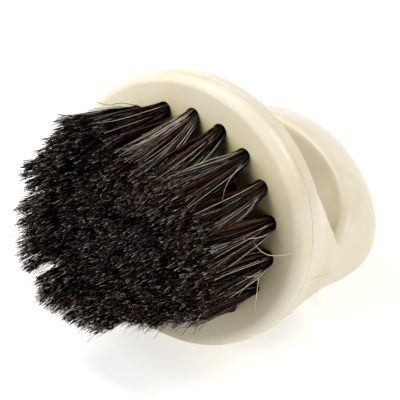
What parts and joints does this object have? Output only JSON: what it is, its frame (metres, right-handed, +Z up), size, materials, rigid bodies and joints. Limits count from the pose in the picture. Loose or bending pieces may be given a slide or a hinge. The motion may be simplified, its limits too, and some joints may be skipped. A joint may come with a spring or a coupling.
{
  "type": "beard brush",
  "caption": "Oval moulded beard brush with a two-finger ring behind its head and drilled tufts of dark natural bristle, lying on its side.",
  "frame": {"origin": "centre of the lying brush's bounding box on the table", "axes": "+X along the head's long axis, -Y the way the bristles point (tilted up a little), +Z up from the table the brush lies on"},
  "size_m": [0.0648, 0.0798, 0.0564],
  "materials": {
    "moulded_body": "satin moulded ABS, cream",
    "moulded_block": "satin moulded ABS, cream",
    "bristle": "natural boar and horse hair, black to reddish brown",
    "anchor_wire": "flat drawn wire"
  },
  "bodies": {
    "root": {"bristle_block": "moulded_block", "handle_body": "moulded_body", "tuft_centre_01": "bristle", "tuft_centre_02": "bristle", "tuft_inner_01": "bristle", "tuft_inner_02": "bristle", "tuft_inner_03": "bristle", "tuft_inner_04": "bristle", "tuft_inner_05": "bristle", "tuft_inner_06": "bristle", "tuft_inner_07": "bristle", "tuft_inner_08": "bristle", "tuft_middle_01": "bristle", "tuft_middle_02": "bristle", "tuft_middle_03": "bristle", "tuft_middle_04": "bristle", "tuft_middle_05": "bristle", "tuft_middle_06": "bristle", "tuft_middle_07": "bristle", "tuft_middle_08": "bristle", "tuft_middle_09": "bristle", "tuft_middle_10": "bristle", "tuft_middle_11": "bristle", "tuft_middle_12": "bristle", "tuft_middle_13": "bristle", "tuft_outer_01": "bristle", "tuft_outer_02": "bristle", "tuft_outer_03": "bristle", "tuft_outer_04": "bristle", "tuft_outer_05": "bristle", "tuft_outer_06": "bristle", "tuft_outer_07": "bristle", "tuft_outer_08": "bristle", "tuft_outer_09": "bristle", "tuft_outer_10": "bristle", "tuft_outer_11": "bristle", "tuft_outer_12": "bristle", "tuft_outer_13": "bristle", "tuft_outer_14": "bristle", "tuft_outer_15": "bristle", "tuft_outer_16": "bristle", "tuft_outer_17": "bristle", "tuft_outer_18": "bristle", "tuft_outer_19": "bristle", "tuft_staples": "anchor_wire"}
  },
  "joints": []
}
